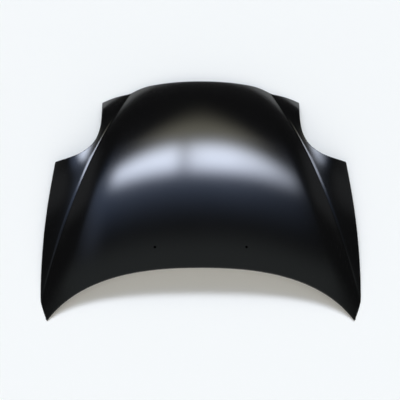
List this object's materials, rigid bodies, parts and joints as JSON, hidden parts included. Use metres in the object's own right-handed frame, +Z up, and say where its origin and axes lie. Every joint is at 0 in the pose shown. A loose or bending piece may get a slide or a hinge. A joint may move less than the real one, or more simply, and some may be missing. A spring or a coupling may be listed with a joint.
{
  "type": "car bonnet",
  "caption": "Pressed-steel car bonnet in black primer, with a raised centre, headlamp cut-outs, a hemmed and ribbed inner panel, hinge seats and a striker loop.",
  "frame": {"origin": "middle of the bonnet's footprint, on the floor that it rests on with its two rear tips and its two nose corners", "axes": "+X across the car to the right as seen looking from the windscreen to the nose, +Y towards the nose, +Z up"},
  "size_m": [1.3784, 1.122, 0.1782],
  "materials": {
    "primed_steel": "semi-gloss black dip primer",
    "mastic": "matte dark grey anti-flutter mastic"
  },
  "bodies": {
    "root": {"outer_skin": "primed_steel", "inner_panel": "primed_steel", "hinge_reinforcement_left": "primed_steel", "hinge_reinforcement_right": "primed_steel", "hinge_nut_left_rear": "primed_steel", "hinge_nut_left_front": "primed_steel", "hinge_nut_right_rear": "primed_steel", "hinge_nut_right_front": "primed_steel", "striker_reinforcement": "primed_steel", "striker_base": "primed_steel", "striker_loop": "primed_steel", "mastic_pad_01": "mastic", "mastic_pad_02": "mastic", "mastic_pad_03": "mastic", "mastic_pad_04": "mastic", "mastic_pad_05": "mastic", "mastic_pad_06": "mastic", "mastic_pad_07": "mastic", "mastic_pad_08": "mastic", "mastic_pad_09": "mastic", "mastic_pad_10": "mastic", "mastic_pad_11": "mastic", "mastic_pad_12": "mastic", "mastic_pad_13": "mastic", "mastic_pad_14": "mastic", "mastic_pad_15": "mastic", "mastic_pad_16": "mastic", "mastic_pad_17": "mastic", "mastic_pad_18": "mastic", "mastic_pad_19": "mastic", "mastic_pad_20": "mastic"}
  },
  "joints": []
}
